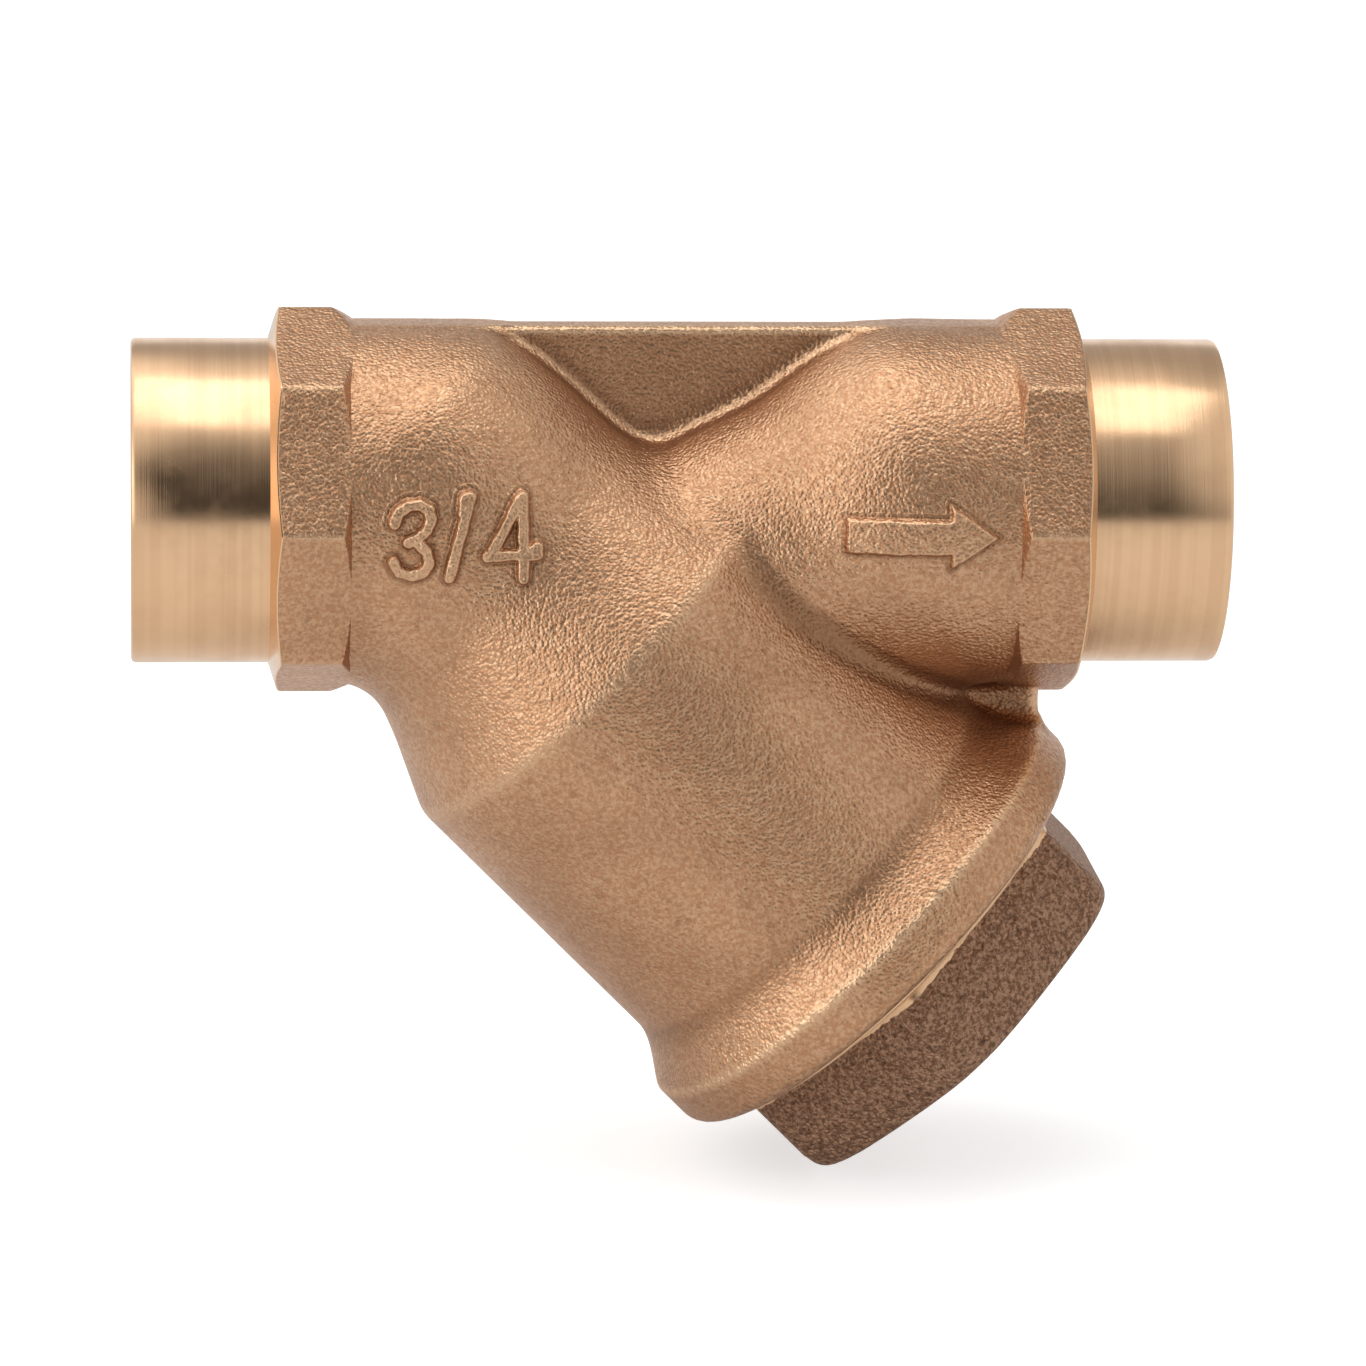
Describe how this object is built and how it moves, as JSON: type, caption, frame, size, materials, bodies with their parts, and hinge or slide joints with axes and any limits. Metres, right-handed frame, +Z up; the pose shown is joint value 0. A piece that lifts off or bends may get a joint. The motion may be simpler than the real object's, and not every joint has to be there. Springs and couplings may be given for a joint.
{
  "type": "y strainer",
  "caption": "Cast bronze Y strainer with solder cups in line, a branch at 45 degrees, a wire screen inside it and a hexagonal screw cap that seals on a flat gasket.",
  "frame": {"origin": "centre of the inlet cup's mouth, on the axis of the run", "axes": "+X along the run in the direction of flow, +Z up, branch leaning down towards the outlet in the plane y = 0, raised marks on the -Y side"},
  "size_m": [0.0905, 0.0448, 0.0724],
  "materials": {
    "cast_bronze": "sand cast, fine grain, with bright turned tails",
    "cap_bronze": "coarse dark as-cast skin with a turned collar and thread",
    "gasket": "plain white PTFE",
    "screen_wire": "drawn stainless wire, 20 openings to the inch",
    "screen_strip": "rolled stainless strip"
  },
  "bodies": {
    "strainer_body": {"body": "cast_bronze"},
    "screen": {"screen_cloth": "screen_wire", "screen_top_band": "screen_strip", "screen_bottom_band": "screen_strip", "screen_seam": "screen_strip"},
    "gasket": {"cap_gasket": "gasket"},
    "cap": {"retainer_cap": "cap_bronze"}
  },
  "joints": [
    {"name": "screen_withdraw", "type": "slide", "parent": "strainer_body", "child": "screen", "axis": [0.7071, 0, -0.7071], "range_m": [0, 0.06]},
    {"name": "cap_advance", "type": "slide", "parent": "screen", "child": "gasket", "axis": [0.7071, 0, -0.7071], "range_m": [0, 0.0106]},
    {"name": "cap_unscrew", "type": "hinge", "parent": "gasket", "child": "cap", "pos_m": [0.0629, 0, -0.03705], "axis": [0.7071, 0, -0.7071], "range_deg": [0, 2520]}
  ],
  "couplings": [
    {"joint": "cap_advance", "follows": "cap_unscrew", "m_per_rad": 0.00023873}
  ]
}
